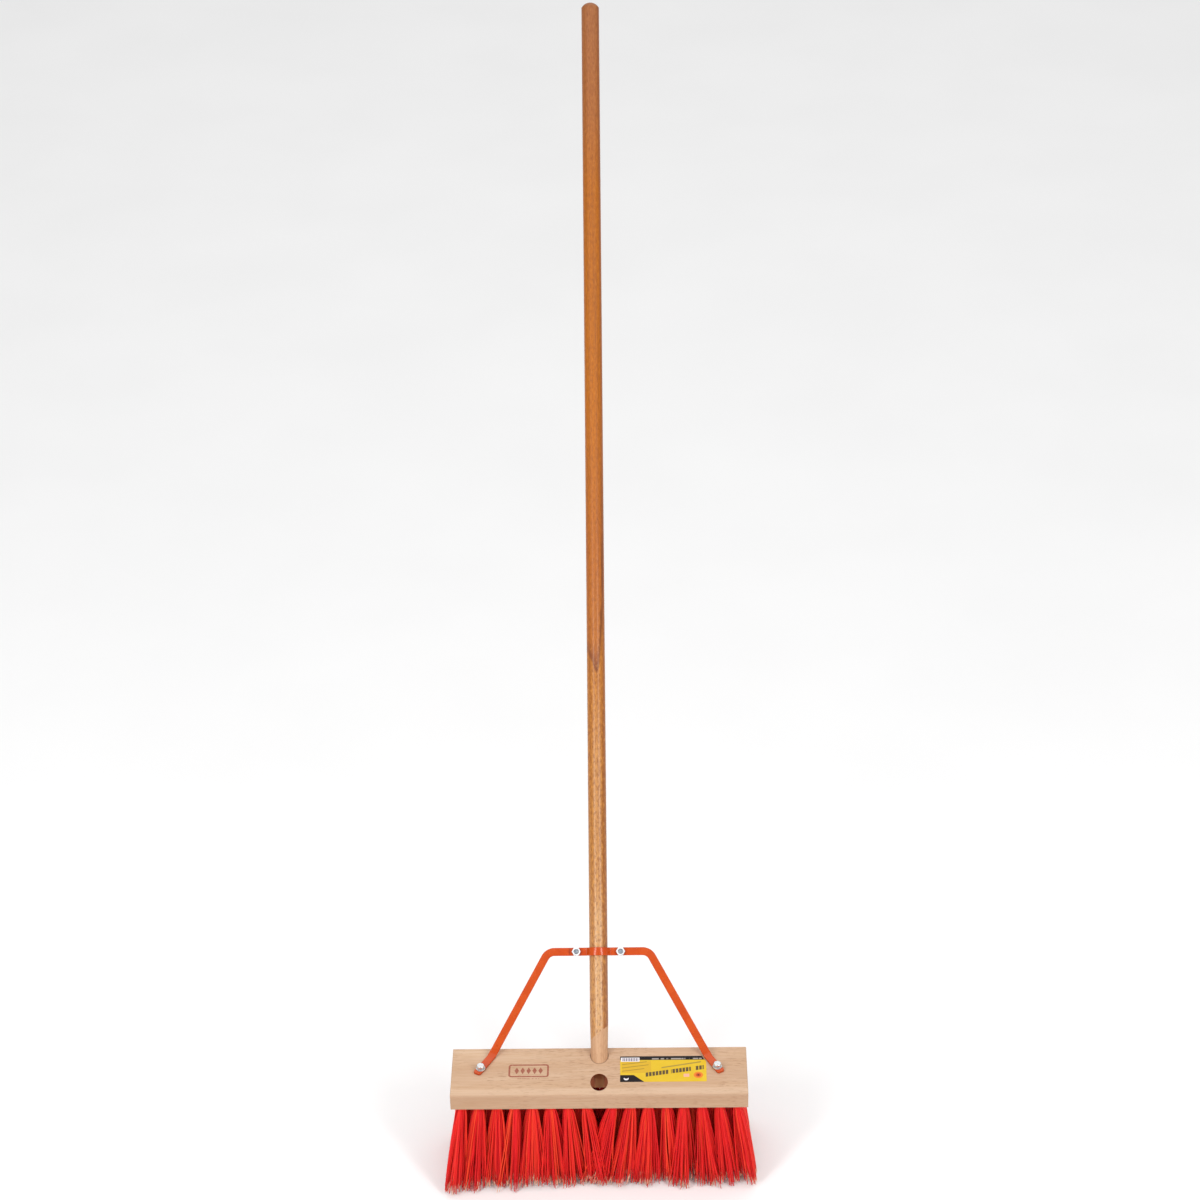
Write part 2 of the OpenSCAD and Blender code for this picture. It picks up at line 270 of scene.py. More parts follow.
def fibre_mesh(lines):
    """Points and faces of one closed tapering tube round each line."""
    count, rings = lines.shape[:2]
    tapering = 0.15  # the share of the rings that narrows
    near_tip = np.clip((np.linspace(0, 1, rings) - 1) / tapering + 1, 0, 1)
    radius = FIBRE_RADIUS * (1 - 0.3 * near_tip)
    turns = 2 * math.pi * np.arange(FIBRE_SIDES) / FIBRE_SIDES
    circle = np.stack([np.cos(turns), np.sin(turns), 0 * turns], axis=1)
    points = lines[:, :, None, :] + radius[None, :, None, None] * circle
    faces = []
    for first in range(0, count * rings * FIBRE_SIDES, rings * FIBRE_SIDES):
        faces.append([first + j for j in range(FIBRE_SIDES)])
        for ring in range(first, first + (rings - 1) * FIBRE_SIDES, FIBRE_SIDES):
            for j in range(FIBRE_SIDES):
                after = (j + 1) % FIBRE_SIDES
                next_ring = ring + FIBRE_SIDES
                faces.append([ring + j, next_ring + j, next_ring + after, ring + after])
        last = first + (rings - 1) * FIBRE_SIDES
        faces.append([last + j for j in reversed(range(FIBRE_SIDES))])
    return points.reshape(-1, 3), faces


def fibre_row(name, node, seed, material):
    """Every fibre of one row of tufts, in place of the row's solid tufts."""
    rng = np.random.default_rng(seed)
    points = node_points(node)
    at_block = abs(points[:, 2] - BLOCK_LOW.z) < 1.2 * MM
    at_tips = points[:, 2] < 0.1 * MM
    mouths = cluster_centres(points[at_block], gap=5 * MM)
    ends = cluster_centres(points[at_tips], gap=3 * MM)
    slopes = tuft_slopes(mouths, ends, rng)
    mouths[:, 2] = BLOCK_LOW.z
    tufts = [fibre_lines(mouth, slope, rng) for mouth, slope in zip(mouths, slopes)]
    lines, tones = (np.concatenate(part) for part in zip(*tufts))
    mesh_points, faces = fibre_mesh(lines)
    piece = new_piece(name, mesh_points.tolist(), faces, material, node)
    values = {
        "tone": np.repeat(tones, FIBRE_RINGS * FIBRE_SIDES),
        "along": np.tile(np.repeat(RING_SHARES, FIBRE_SIDES), len(tones)),
    }
    for title, value in values.items():
        piece.data.attributes.new(title, "FLOAT", "POINT").data.foreach_set("value", value)


# ---- Shader nodes ----

def linear(*srgb):
    """Linear colour, with alpha, of three sRGB values from 0 to 255."""
    return tuple(((c / 255 + 0.055) / 1.055) ** 2.4 for c in srgb) + (1.0,)


class Shader:
    """One material's node tree. Each method adds a node and returns the socket to use next."""

    def __init__(self, name):
        self.material = bpy.data.materials.new(name)
        self.material.use_nodes = True
        self.tree = self.material.node_tree
        self.tree.nodes.clear()
        self.place = self.add("ShaderNodeTexCoord").outputs["Object"]

    def add(self, kind, inputs=(), **settings):
        node = self.tree.nodes.new(kind)
        for name, value in settings.items():
            setattr(node, name, value)
        for key, value in dict(inputs).items():
            if isinstance(value, bpy.types.NodeSocket):
                self.tree.links.new(value, node.inputs[key])
            else:
                node.inputs[key].default_value = value
        return node

    def math(self, operation, *values, clamp=False):
        node = self.add("ShaderNodeMath", enumerate(values), operation=operation, use_clamp=clamp)
        return node.outputs[0]

    def length(self, x, y):
        """Length of the flat vector (x, y)."""
        squares = self.math("ADD", self.math("POWER", x, 2), self.math("POWER", y, 2))
        return self.math("SQRT", squares)

    def split(self, vector):
        return self.add("ShaderNodeSeparateXYZ", {0: vector}).outputs[:3]

    def stretch(self, vector, x, y, z):
        node = self.add("ShaderNodeVectorMath", {0: vector, 1: (x, y, z)}, operation="MULTIPLY")
        return node.outputs[0]

    def inside(self, matrix):
        """The place in the frame that matrix describes."""
        turn = tuple(matrix.to_euler())
        inputs = {"Vector": self.place, "Location": tuple(matrix.translation), "Rotation": turn}
        return self.add("ShaderNodeMapping", inputs, vector_type="TEXTURE").outputs[0]

    def noise(self, vector, scale=1.0, detail=2.0, roughness=0.5):
        inputs = {"Vector": vector, "Scale": scale, "Detail": detail, "Roughness": roughness}
        return self.add("ShaderNodeTexNoise", inputs).outputs[0]

    def rise(self, value, low, high):
        """0 below low, 1 above high, and smooth between. high may be the lower one."""
        inputs = {"Value": value, "From Min": low, "From Max": high}
        return self.add("ShaderNodeMapRange", inputs, interpolation_type="SMOOTHSTEP").outputs[0]

    def both(self, *masks):
        """Product of masks."""
        result = masks[0]
        for mask in masks[1:]:
            result = self.math("MULTIPLY", result, mask)
        return result

    def mix(self, factor, a, b):
        """Colour a where factor is 0, and b where it is 1."""
        return self.add("ShaderNodeMix", {0: factor, 6: a, 7: b}, data_type="RGBA").outputs[2]

    def stain(self, colour, mask, strength, stain_colour):
        """A colour with another laid over it where mask is 1."""
        return self.mix(self.math("MULTIPLY", mask, strength), colour, stain_colour)

    def ramp(self, factor, stops):
        """Colour ramp through (position, colour) stops."""
        node = self.add("ShaderNodeValToRGB", {0: factor})
        elements = node.color_ramp.elements
        for position, colour in stops[1:-1]:
            elements.new(position).color = colour
        for element, (position, colour) in zip(elements, stops):
            element.position = position
            element.color = colour
        return node.outputs[0]

    def painted_corner_shade(self, distance):
        """Painted shade: 0 on open surfaces, rising to 1 in corners closer than distance."""
        node = self.add("ShaderNodeAmbientOcclusion", {"Distance": distance}, samples=8)
        return self.math("SUBTRACT", 1.0, self.rise(node.outputs["AO"], 0.35, 0.95), clamp=True)

    def rounded_edges(self, radius):
        """Normals that round the edges off."""
        return self.add("ShaderNodeBevel", {"Radius": radius}, samples=4).outputs[0]

    def bump(self, height, distance, strength, normal=None):
        inputs = {"Height": height, "Distance": distance, "Strength": strength}
        if normal is not None:
            inputs["Normal"] = normal
        return self.add("ShaderNodeBump", inputs).outputs[0]

    def surface(self, **inputs):
        """The finished surface. Input names have _ for each space."""
        named = {key.replace("_", " "): value for key, value in inputs.items()}
        principled = self.add("ShaderNodeBsdfPrincipled", named)
        output = self.add("ShaderNodeOutputMaterial")
        self.tree.links.new(principled.outputs[0], output.inputs[0])
        return self.material


def box_mask(shader, x, y, low, high, soft):
    """1 inside the rectangle from low to high, with soft edges."""
    return shader.both(
        shader.rise(x, low[0] - soft, low[0] + soft),
        shader.rise(x, high[0] + soft, high[0] - soft),
        shader.rise(y, low[1] - soft, low[1] + soft),
        shader.rise(y, high[1] + soft, high[1] - soft),
    )


def rounded_distance(shader, x, y, half_length, half_width, corner):
    """Distance outside a rounded rectangle centred on the origin."""
    over = []
    for value, half in ((x, half_length), (y, half_width)):
        beyond = shader.math("SUBTRACT", shader.math("ABSOLUTE", value), half - corner)
        over.append(shader.math("MAXIMUM", beyond, 0))
    return shader.math("SUBTRACT", shader.length(*over), corner)


# ---- Materials ----

def stamp_mask(shader, x, y):
    """A framed row of lozenges in worn ink, on the block's top left of the spare socket."""
    centre_x, centre_y = -97 * MM, 1.8 * MM
    half_length, half_width = 27.5 * MM, 12.6 * MM
    x = shader.math("SUBTRACT", x, centre_x)
    y = shader.math("SUBTRACT", y, centre_y)
    outside = rounded_distance(shader, x, y, half_length, half_width, corner=4 * MM)
    inset = 1 * MM
    line = shader.math("ABSOLUTE", shader.math("ADD", outside, inset))
    frame_line = shader.rise(line, 1.5 * MM, 1.0 * MM)
    pitch = 8.2 * MM
    narrowness = 0.46  # a lozenge's width over its height
    step = shader.math("PINGPONG", x, pitch / 2)
    rise_in_y = shader.math("MULTIPLY", shader.math("ABSOLUTE", y), narrowness)
    lozenge = shader.math("ADD", step, rise_in_y)
    row = shader.rise(lozenge, 3.3 * MM, 2.9 * MM)
    row = shader.both(row, shader.rise(shader.math("ABSOLUTE", x), 20.7 * MM, 20.2 * MM))
    below = box_mask(shader, x, y, (-15 * MM, -16.6 * MM), (15 * MM, -15.2 * MM), 0.2 * MM)
    dashes = shader.rise(shader.noise(shader.stretch(shader.place, 420, 1, 1)), 0.42, 0.5)
    below = shader.math("MULTIPLY", shader.both(below, dashes), 0.7)
    worn = shader.rise(shader.noise(shader.place, 900, detail=3), 0.36, 0.56)
    ink = shader.math("MAXIMUM", frame_line, shader.math("MAXIMUM", row, below))
    return shader.both(ink, shader.math("MULTIPLY_ADD", worn, 0.3, 0.6))


def block_wood():
    """Sanded bare hardwood with fine straight grain, short flecks and the ink stamp."""
    s = Shader("block_wood")
    x, y, z = s.split(s.place)
    ring_pitch, pith_height, most_wander = 5.2 * MM, 45 * MM, 16 * MM
    wander = s.noise(s.stretch(s.place, 3, 9, 9), detail=2)
    ring_y = s.math("ADD", y, s.math("MULTIPLY", wander, most_wander))
    ring_z = s.math("SUBTRACT", z, pith_height)
    ring_tone = s.math("SINE", s.math("MULTIPLY", s.length(ring_y, ring_z), 2 * math.pi / ring_pitch))
    ring_tone = s.math("MULTIPLY_ADD", ring_tone, 0.5, 0.5)
    broad = s.noise(s.stretch(s.place, 3.5, 26, 26), detail=3, roughness=0.55)
    grain = s.noise(s.stretch(s.place, 24, 560, 560), detail=4, roughness=0.62)
    patches = s.noise(s.stretch(s.place, 14, 22, 22), detail=1)
    flecks = s.noise(s.stretch(s.place, 95, 900, 900), detail=1)
    fleck_mask = s.both(s.rise(flecks, 0.58, 0.68), s.rise(patches, 0.40, 0.56))

    colour = s.ramp(broad, [
        (0.25, linear(192, 155, 125)), (0.5, linear(204, 170, 141)), (0.75, linear(215, 185, 156)),
    ])
    colour = s.stain(colour, ring_tone, 0.25, linear(204, 165, 128))
    colour = s.stain(colour, s.rise(grain, 0.38, 0.72), 0.55, linear(188, 148, 112))
    colour = s.stain(colour, fleck_mask, 0.5, linear(152, 110, 78))

    near_top = s.rise(z, BLOCK_HIGH.z - 4 * MM, BLOCK_HIGH.z - 1 * MM)
    pale_edge = s.both(s.rise(y, -32 * MM, -36 * MM), near_top)
    colour = s.stain(colour, pale_edge, 0.3, linear(226, 196, 168))
    # Painted shade: the front face is darkened because it gets less light than the top.
    front = s.rise(y, BLOCK_LOW.y + 1.5 * MM, BLOCK_LOW.y + 0.5 * MM)
    colour = s.stain(colour, front, 0.38, linear(160, 120, 90))
    end_grain = s.rise(s.math("ABSOLUTE", x), BLOCK_HIGH.x - 1.2 * MM, BLOCK_HIGH.x - 0.2 * MM)
    colour = s.stain(colour, end_grain, 0.35, linear(176, 134, 98))
    cut = s.rise(s.math("SUBTRACT", BLOCK_HIGH.z - 0.6 * MM, z), 0, 1 * MM)
    bored = s.both(cut, socket_mask(s))
    # Inside the spare socket the bore's wood gets painted light down the middle, against the shadow
    # cast there, and painted shade on its sides, against the softboxes' light.
    bore_side_shade = s.rise(s.math("ABSOLUTE", x), 4.5 * MM, 7.5 * MM)
    bore_wood_painted_lit_and_shaded = s.mix(bore_side_shade, linear(254, 194, 132), linear(172, 98, 62))
    colour = s.stain(colour, bored, 0.9, bore_wood_painted_lit_and_shaded)
    # Painted shade in the thin gap round the handle's foot.
    colour = s.stain(colour, mouth_gap_shade(s), 0.6, linear(96, 62, 40))
    on_top = s.rise(z, BLOCK_HIGH.z - 0.4 * MM, BLOCK_HIGH.z - 0.2 * MM)
    ink = s.both(stamp_mask(s, x, y), on_top)
    colour = s.mix(ink, colour, linear(146, 62, 46))

    height = s.math("ADD", s.math("MULTIPLY", grain, 0.7), s.math("MULTIPLY", fleck_mask, -0.5))
    return s.surface(
        Base_Color=colour,
        Roughness=s.math("MULTIPLY_ADD", grain, 0.2, 0.5),
        Specular_IOR_Level=0.35,
        Normal=s.bump(height, 0.25 * MM, 0.5),
    )


def from_axis(shader, matrix):
    """Distance from the +Z axis of the frame that matrix describes."""
    x, y = shader.split(shader.inside(matrix))[:2]
    return shader.length(x, y)


def socket_mask(shader):
    """1 near the wall and floor of the spare socket, whose bore the record states."""
    mount = next(m for m in frame["record"]["mounts"] if m["name"] == "spare_socket")
    matrix = frame_along(Vector(mount["axis"]).normalized(), mount["pos_m"])
    radius = mount["dims"]["r_mm"] * MM
    return shader.rise(from_axis(shader, matrix), radius + 0.6 * MM, radius + 0.2 * MM)


def mouth_gap_shade(shader):
    """Painted shade: 1 in a thin ring round the handle where it enters the block."""
    matrix, outline = turned_shape("handle")[:2]
    radius = outline[0][1]
    return shader.rise(from_axis(shader, matrix), radius + 1.6 * MM, radius + 0.5 * MM)


def handle_wood(handle_frame, length):
    """Wood with long dark streaks under a clear lacquer that stops short of the bare foot."""
    s = Shader("handle_wood")
    place = s.inside(handle_frame)
    x, y, z = s.split(place)
    up = s.math("DIVIDE", z, length)
    wander = s.noise(s.stretch(place, 30, 30, 2.2), detail=2)
    streaks = s.noise(s.stretch(place, 210, 210, 2.4), detail=4, roughness=0.6)
    fine = s.noise(s.stretch(place, 900, 900, 22), detail=3, roughness=0.6)
    pores = s.noise(s.stretch(place, 1500, 1500, 120), detail=1)
    speckle = s.noise(s.stretch(place, 420, 420, 160), detail=2)

    colour = s.ramp(up, [
        (0.0, linear(198, 148, 96)), (0.12, linear(194, 137, 82)), (0.20, linear(188, 126, 60)),
        (0.36, linear(186, 116, 44)), (0.45, linear(184, 108, 32)), (0.62, linear(188, 106, 16)),
        (0.82, linear(182, 102, 16)), (0.89, linear(172, 102, 48)), (1.0, linear(166, 104, 62)),
    ])
    colour = s.stain(colour, s.rise(streaks, 0.42, 0.72), 0.5, linear(150, 84, 30))
    colour = s.stain(colour, s.rise(wander, 0.5, 0.75), 0.25, linear(160, 94, 44))
    # Painted highlight: a pale band where the softboxes' sheen falls on the lacquer.
    colour = s.mix(painted_front_highlight(s, x, y, z, streaks), colour, linear(226, 186, 140))
    flank_start = s.math("MULTIPLY_ADD", s.rise(z, 300 * MM, 600 * MM), -3 * MM, x)
    flank = s.both(s.rise(flank_start, 5.5 * MM, 8 * MM), s.rise(y, 4 * MM, 0))
    colour = s.stain(colour, flank, 0.5, linear(140, 72, 26))
    inside, point, line = heartwood(s, place)
    colour = s.stain(colour, inside, 0.2, linear(178, 84, 44))
    colour = s.stain(colour, point, 0.6, linear(132, 72, 56))
    colour = s.mix(line, colour, linear(92, 44, 28))
    blotch = s.noise(s.stretch(place, 400, 400, 170), detail=2)
    lower_part = s.rise(z, 700 * MM, 450 * MM)
    dark = s.math("MULTIPLY_ADD", lower_part, 0.2, 0.3)
    light = s.math("MULTIPLY_ADD", lower_part, 0.32, 0.1)
    colour = s.stain(colour, s.rise(blotch, 0.5, 0.64), dark, linear(140, 76, 30))
    colour = s.stain(colour, s.rise(blotch, 0.46, 0.34), light, linear(226, 158, 74))
    colour = s.stain(colour, s.rise(fine, 0.45, 0.75), 0.3, linear(140, 78, 32))
    colour = s.stain(colour, s.rise(pores, 0.60, 0.70), 0.5, linear(112, 60, 26))

    bare = s.ramp(streaks, [
        (0.3, linear(210, 170, 134)), (0.5, linear(202, 158, 122)), (0.7, linear(184, 138, 102)),
    ])
    bare = s.stain(bare, s.rise(blotch, 0.5, 0.64), 0.25, linear(168, 122, 88))
    edge_height = s.math("MULTIPLY_ADD", x, 0.8, 50 * MM)
    ragged = s.math("MULTIPLY_ADD", s.noise(place, 260, detail=2), 5 * MM, edge_height)
    above_edge = s.math("SUBTRACT", z, ragged)
    lacquered = s.rise(above_edge, -0.5 * MM, 0.9 * MM)
    pooled = s.both(s.rise(above_edge, 12 * MM, 0), s.rise(x, 0, 9 * MM))
    colour = s.stain(colour, pooled, 0.4, linear(150, 78, 34))
    colour = s.mix(lacquered, bare, colour)

    height = s.math("ADD", s.math("MULTIPLY", fine, 0.6), s.math("MULTIPLY", speckle, 0.6))
    bare_roughness = s.math("MULTIPLY_ADD", speckle, 0.14, 0.5)
    return s.surface(
        Base_Color=colour,
        Roughness=s.math("MULTIPLY_ADD", lacquered, -0.1, bare_roughness),
        Specular_IOR_Level=0.24,
        Coat_Weight=s.math("MULTIPLY", lacquered, 0.28),
        Coat_Roughness=0.2,
        Normal=s.bump(height, 0.22 * MM, 0.5),
    )


def painted_front_highlight(shader, x, y, z, streaks):
    """A painted highlight: a pale band up the front of the handle's lower third, strongest low down."""
    across = shader.math("MULTIPLY_ADD", streaks, 5 * MM, shader.math("SUBTRACT", x, 2.7 * MM))
    band = shader.rise(shader.math("ABSOLUTE", across), 7 * MM, 4 * MM)
    front = shader.rise(y, 0, -6 * MM)
    low = shader.math("MULTIPLY", shader.rise(z, 255 * MM, 205 * MM), 0.32)
    height = shader.math("MULTIPLY_ADD", shader.rise(z, 580 * MM, 400 * MM), 0.22, low)
    return shader.both(band, front, height)


def heartwood(shader, place):
    """Masks of the redder wood above a V a third of the way up, its point, and its outline."""
    x, y, z = shader.split(place)
    wobble = shader.noise(shader.stretch(place, 130, 130, 26), detail=3)
    x = shader.math("MULTIPLY_ADD", wobble, 5 * MM, shader.math("SUBTRACT", x, 2.5 * MM))
    point_height = 551 * MM
    height = shader.math("SUBTRACT", z, point_height)
    fall = shader.math("POWER", math.e, shader.math("DIVIDE", height, -60 * MM))
    right = shader.math("SUBTRACT", shader.math("MULTIPLY_ADD", fall, -10 * MM, 11 * MM), x)
    left = shader.math("ADD", shader.math("MULTIPLY_ADD", height, 0.40, -1 * MM), x)
    front = shader.rise(y, 3 * MM, -1 * MM)
    started = shader.rise(height, -6 * MM, 4 * MM)
    depth = shader.math("MINIMUM", right, left)
    within = shader.both(shader.rise(depth, -1 * MM, 2 * MM), front, started)
    inside = shader.both(within, shader.rise(height, 420 * MM, 150 * MM))
    point = shader.both(within, shader.rise(height, 50 * MM, 8 * MM))
    right_line = shader.both(
        shader.rise(shader.math("ABSOLUTE", right), 2.6 * MM, 0.4 * MM),
        shader.rise(left, 0, 2 * MM), shader.rise(height, 330 * MM, 110 * MM),
    )
    left_line = shader.both(
        shader.rise(left, 10 * MM, 1 * MM), shader.rise(left, -1.5 * MM, 1 * MM),
        shader.rise(height, 90 * MM, 25 * MM), shader.rise(right, -1 * MM, 2 * MM),
    )
    broken = shader.math("MULTIPLY_ADD", shader.rise(wobble, 0.3, 0.6), 0.35, 0.4)
    line = shader.math("MAXIMUM", right_line, shader.math("MULTIPLY", left_line, 0.7))
    return inside, point, shader.both(line, front, started, broken)


def orange_enamel():
    """Glossy enamel over steel strap, with faint orange peel and painted shade in the corners."""
    s = Shader("orange_enamel")
    cloud = s.noise(s.place, 60, detail=3)
    peel = s.noise(s.place, 1100, detail=2)
    colour = s.ramp(cloud, [(0.3, linear(192, 66, 4)), (0.7, linear(204, 77, 6))])
    # Painted shade: the enamel darkens in corners and where the nuts sit on it.
    colour = s.stain(colour, s.painted_corner_shade(2.5 * MM), 0.6, linear(110, 22, 10))
    return s.surface(
        Base_Color=colour,
        Roughness=s.math("MULTIPLY_ADD", cloud, 0.1, 0.22),
        Specular_IOR_Level=0.28,
        Coat_Weight=0.42,
        Coat_Roughness=0.16,
        Normal=s.bump(peel, 0.02 * MM, 0.5, s.rounded_edges(0.8 * MM)),
    )


def zinc_plate(name, dull, bright, roughness):
    """Bright zinc plate: fine drawn texture, a faint mottle, and painted shade in the corners."""
    s = Shader(name)
    mottle = s.noise(s.place, 380, detail=4, roughness=0.6)
    fine = s.noise(s.place, 2600, detail=2)
    colour = s.ramp(mottle, [(0.3, dull), (0.6, bright)])
    # Painted shade: the zinc darkens in corners, where the bolt meets the nut and the nut meets the
    # strap.
    colour = s.stain(colour, s.painted_corner_shade(1.5 * MM), 0.85, linear(60, 64, 72))
    return s.surface(
        Base_Color=colour,
        Metallic=0.85,
        Roughness=s.math("MULTIPLY_ADD", mottle, 0.3, roughness),
        Normal=s.bump(fine, 0.02 * MM, 0.5, s.rounded_edges(0.35 * MM)),
    )


def staple_wire():
    """Drawn flat wire, duller than the plated fasteners."""
    s = Shader("staple_wire")
    drawn = s.noise(s.stretch(s.place, 400, 3000, 3000), detail=2)
    colour = s.ramp(drawn, [(0.3, linear(168, 168, 170)), (0.7, linear(200, 200, 198))])
    roughness = s.math("MULTIPLY_ADD", drawn, 0.3, 0.25)
    return s.surface(Base_Color=colour, Metallic=1.0, Roughness=roughness)


def printed_label():
    """Printed satin film: colour fields and plain bars, with no lettering."""
    s = Shader("printed_label")
    low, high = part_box("product_label")
    x, y = s.split(s.place)[:2]
    u = s.math("DIVIDE", s.math("SUBTRACT", x, low.x), high.x - low.x)
    v = s.math("DIVIDE", s.math("SUBTRACT", y, low.y), high.y - low.y)
    soft = 0.004

    def field(low_u, high_u, low_v, high_v, slope=0.0):
        """Mask of a bar that climbs by slope along the label."""
        climbed = s.math("SUBTRACT", v, s.math("MULTIPLY", s.math("SUBTRACT", u, low_u), slope))
        return box_mask(s, u, climbed, (low_u, low_v), (high_u, high_v), soft)

    def spot(centre_u, centre_v, radius):
        """Mask of a round spot, with its radius in metres."""
        over_x = s.math("MULTIPLY", s.math("SUBTRACT", u, centre_u), high.x - low.x)
        over_y = s.math("MULTIPLY", s.math("SUBTRACT", v, centre_v), high.y - low.y)
        return s.rise(s.length(over_x, over_y), radius + 0.3 * MM, radius - 0.3 * MM)

    black, grey, white = linear(20, 14, 18), linear(176, 166, 158), linear(236, 230, 232)
    tint = s.noise(s.place, 40, detail=2)
    colour = s.ramp(tint, [(0.3, linear(218, 180, 34)), (0.7, linear(226, 190, 48))])

    colour = s.mix(field(0.02, 0.36, 0.34, 0.80), colour, linear(214, 172, 44))
    for row, length in enumerate((0.29, 0.31, 0.26)):
        drop = 0.13 * row
        bar = field(0.02, 0.02 + length, 0.66 - drop, 0.69 - drop, slope=0.38)
        colour = s.stain(colour, bar, 0.6, linear(128, 104, 44))
    cell_pitch, title_start, title_slope = 4.6 * MM, 0.29, 0.42
    wave = s.math("SINE", s.math("MULTIPLY", x, 2 * math.pi / cell_pitch))
    cells = s.rise(s.math("ADD", wave, s.noise(s.place, 700, detail=1)), -0.5, 0.1)
    for start, end in ((title_start, 0.56), (0.59, 0.82), (0.87, 0.97)):
        climb = title_slope * (start - title_start)
        bar = field(start, end, 0.19 + climb, 0.35 + climb, title_slope)
        colour = s.stain(colour, s.both(bar, cells), 0.9, linear(56, 42, 48))
    colour = s.stain(colour, field(0.48, 0.94, 0.52, 0.57, 0.48), 0.6, linear(120, 104, 70))

    corner = s.math("ADD", s.math("MULTIPLY", u, 2.2), v)
    wedge = s.both(s.rise(corner, 0.62, 0.60), s.rise(v, 0.27, 0.26))
    colour = s.mix(wedge, colour, black)
    mark = s.math("SUBTRACT", spot(0.07, 0.13, 3.4 * MM), spot(0.07, 0.18, 3.0 * MM), clamp=True)
    colour = s.mix(mark, colour, white)

    colour = s.mix(field(-0.1, 1.1, 0.85, 1.1), colour, black)
    dashes = s.rise(s.noise(s.stretch(s.place, 170, 1, 1), detail=1), 0.40, 0.46)
    dashes = s.both(field(0.37, 0.98, 0.87, 0.92), dashes)
    colour = s.stain(colour, dashes, 0.85, grey)
    colour = s.mix(field(0.008, 0.225, 0.79, 0.95), colour, white)
    bar_pitch = 2.3 * MM
    beat = s.math("SINE", s.math("MULTIPLY", x, 2 * math.pi / bar_pitch))
    bars = s.math("ADD", beat, s.math("MULTIPLY", s.noise(s.stretch(s.place, 900, 1, 1)), 2))
    bars = s.both(field(0.025, 0.21, 0.81, 0.93), s.rise(bars, 0.5, 1.2))
    colour = s.stain(colour, bars, 0.95, linear(84, 70, 96))

    colour = s.mix(field(0.735, 0.80, 0.18, 0.30), colour, linear(238, 176, 150))
    rings = ((6.4 * MM, (230, 128, 44)), (3.6 * MM, (196, 84, 40)), (1.4 * MM, (96, 40, 28)))
    for radius, srgb in rings:
        colour = s.mix(spot(0.905, 0.25, radius), colour, linear(*srgb))
    return s.surface(
        Base_Color=colour,
        Roughness=s.math("MULTIPLY_ADD", tint, 0.15, 0.36),
        Specular_IOR_Level=0.25,
        Normal=s.bump(s.noise(s.place, 120, detail=2), 0.12 * MM, 0.3),
    )


def bristle_plastic():
    """Extruded fibre: every fibre has its own tone, and many have pale tips, painted light for light
    showing between the fibre ends.
    """
    s = Shader("bristle_plastic")
    tone = s.add("ShaderNodeAttribute", attribute_name="tone").outputs["Fac"]
    along = s.add("ShaderNodeAttribute", attribute_name="along").outputs["Fac"]
    run = s.noise(s.stretch(s.place, 500, 500, 30), detail=2)
    varied = s.math("ADD", tone, s.math("MULTIPLY_ADD", run, 0.3, -0.15))
    colour = s.ramp(varied, [
        (0.1, linear(222, 22, 32)), (0.5, linear(236, 36, 34)), (0.9, linear(246, 76, 40)),
    ])
    # Painted light: pale tips stand in for light showing through between the fibre ends.
    pale_tip_light = s.both(s.rise(along, 0.93, 0.96), s.rise(tone, 0.49, 0.6))
    colour = s.stain(colour, pale_tip_light, 0.9, linear(255, 220, 186))
    return s.surface(
        Base_Color=colour,
        Roughness=s.math("MULTIPLY_ADD", run, 0.2, 0.38),
        Specular_IOR_Level=0.22,
        Normal=s.bump(run, 0.05 * MM, 0.4),
    )


def studio_floor():
    """Pale matte paper."""
    s = Shader("studio_floor")
    tone = s.noise(s.place, 3, detail=2)
    colour = s.ramp(tone, [(0.3, (0.93, 0.93, 0.93, 1)), (0.7, (0.95, 0.95, 0.95, 1))])
    return s.surface(Base_Color=colour, Roughness=0.9, Specular_IOR_Level=0.1)


# ---- Stage ----

def place_camera():
    """Camera in front of the head and above it, at the photograph's viewing angle."""
    elevation, yaw, roll = (math.radians(a) for a in (33.12, 1.08, -1.215))
    aim = Vector((0.0148, 0, 0.9311))
    distance = 3.6088
    data = bpy.data.cameras.new("camera")
    data.lens = 88.03
    data.sensor_width = 36
    data.clip_end = 200
    camera = bpy.data.objects.new("camera", data)
    turn = Matrix.Rotation(yaw, 4, "Z") @ Matrix.Rotation(math.pi / 2 - elevation, 4, "X")
    turn = turn @ Matrix.Rotation(roll, 4, "Z")
    camera.matrix_world = Matrix.Translation(aim + turn.col[2].xyz * distance) @ turn
    bpy.context.scene.collection.objects.link(camera)
    bpy.context.scene.camera = camera


def softbox(name, place, aim, width, height, radiance):
    """Area light of a given brightness, facing aim."""
    data = bpy.data.lights.new(name, "AREA")
    data.shape = "RECTANGLE"
    data.size = width
    data.size_y = height
    data.energy = radiance * math.pi * width * height
    light = bpy.data.objects.new(name, data)
    facing = (Vector(place) - Vector(aim)).to_track_quat("Z", "Y")
    light.matrix_world = Matrix.Translation(place) @ facing.to_matrix().to_4x4()
    bpy.context.scene.collection.objects.link(light)


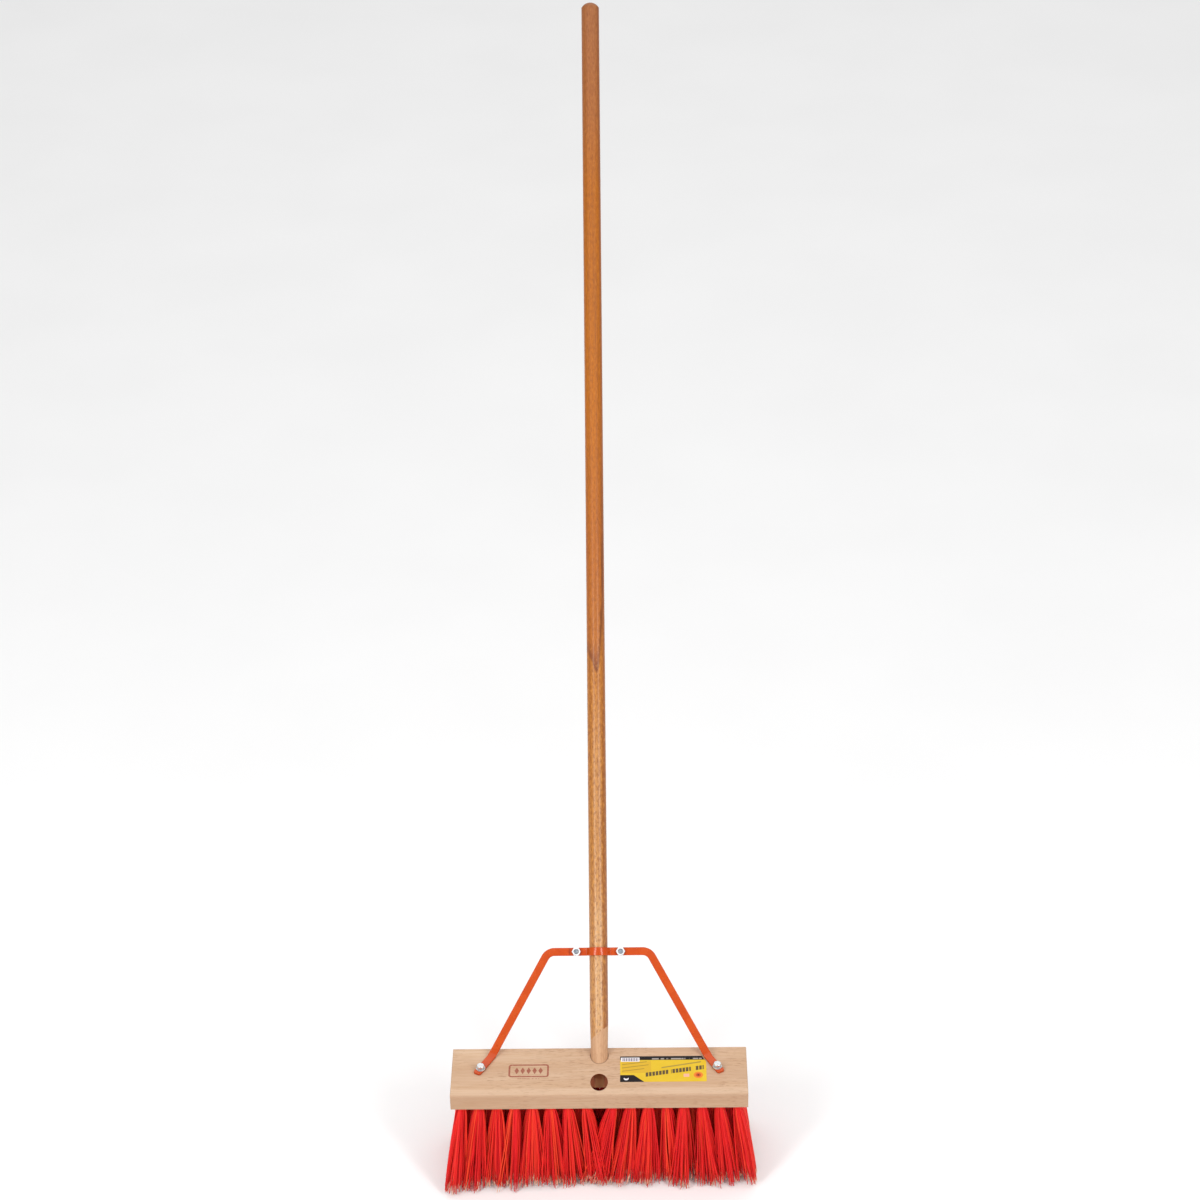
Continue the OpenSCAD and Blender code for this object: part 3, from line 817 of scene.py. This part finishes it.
def build_studio():
    """Pale floor and surroundings, two upright softboxes at the front and a wide one overhead."""
    half = 40  # metres
    mesh = bpy.data.meshes.new("floor")
    corners = [(-half, -half, 0), (half, -half, 0), (half, half, 0), (-half, half, 0)]
    mesh.from_pydata(corners, [], [range(4)])
    mesh.materials.append(studio_floor())
    floor = bpy.data.objects.new("floor", mesh)
    bpy.context.scene.collection.objects.link(floor)

    world = bpy.data.worlds.new("surroundings")
    world.use_nodes = True
    background = world.node_tree.nodes["Background"]
    background.inputs["Color"].default_value = (1, 1, 1, 1)
    background.inputs["Strength"].default_value = 0.33
    bpy.context.scene.world = world
    bpy.context.scene.view_settings.view_transform = "Standard"

    for side in (-1, 1):
        place, aim = (side * 1.75, -1.9, 1.95), (0, 0.1, 0.3)
        softbox(f"softbox_{side + 1}", place, aim, width=0.5, height=2.0, radiance=11.5)
    softbox("overhead", (0, 2.5, 5), (0, 2.5, 0), width=12, height=14, radiance=0.78)


# ---- Assembly ----

def assemble():
    """Gives every piece its material and its place in the frame."""
    matrix, outline, dome = turned_shape("handle")
    wood = handle_wood(matrix, outline[-1][0] + dome)
    turned_handle("wooden_handle", "handle", wood)

    enamel = orange_enamel()
    for side in ("left", "right"):
        smooth_copy(f"strap_arm_{side}", f"brace_arm_{side}", enamel)

    plastic = bristle_plastic()
    rows = sorted(node for node in frame["nodes"] if node.startswith("bristle_row"))
    for number, node in enumerate(rows, 1):
        fibre_row(f"fibre_row_{number}", node, number, plastic)

    finishes = {
        "block": block_wood(),
        # The bolts and nuts share one zinc plate: the bolts' darker, bluer tone is painted shade and
        # the nuts' near white is painted light.
        "clamp_bolt": zinc_plate("bolt_zinc", linear(120, 132, 146), linear(168, 178, 188), 0.2),
        "clamp_nut": zinc_plate("nut_zinc", linear(226, 230, 236), linear(250, 250, 250), 0.3),
        "foot_screw": zinc_plate("screw_zinc", linear(204, 211, 220), linear(238, 238, 236), 0.14),
        "product_label": printed_label(),
        "staple": staple_wire(),
    }
    for node, piece in frame["nodes"].items():
        for start, material in finishes.items():
            if node.startswith(start):
                piece.material_slots[0].material = material


place_camera()
build_studio()
assemble()
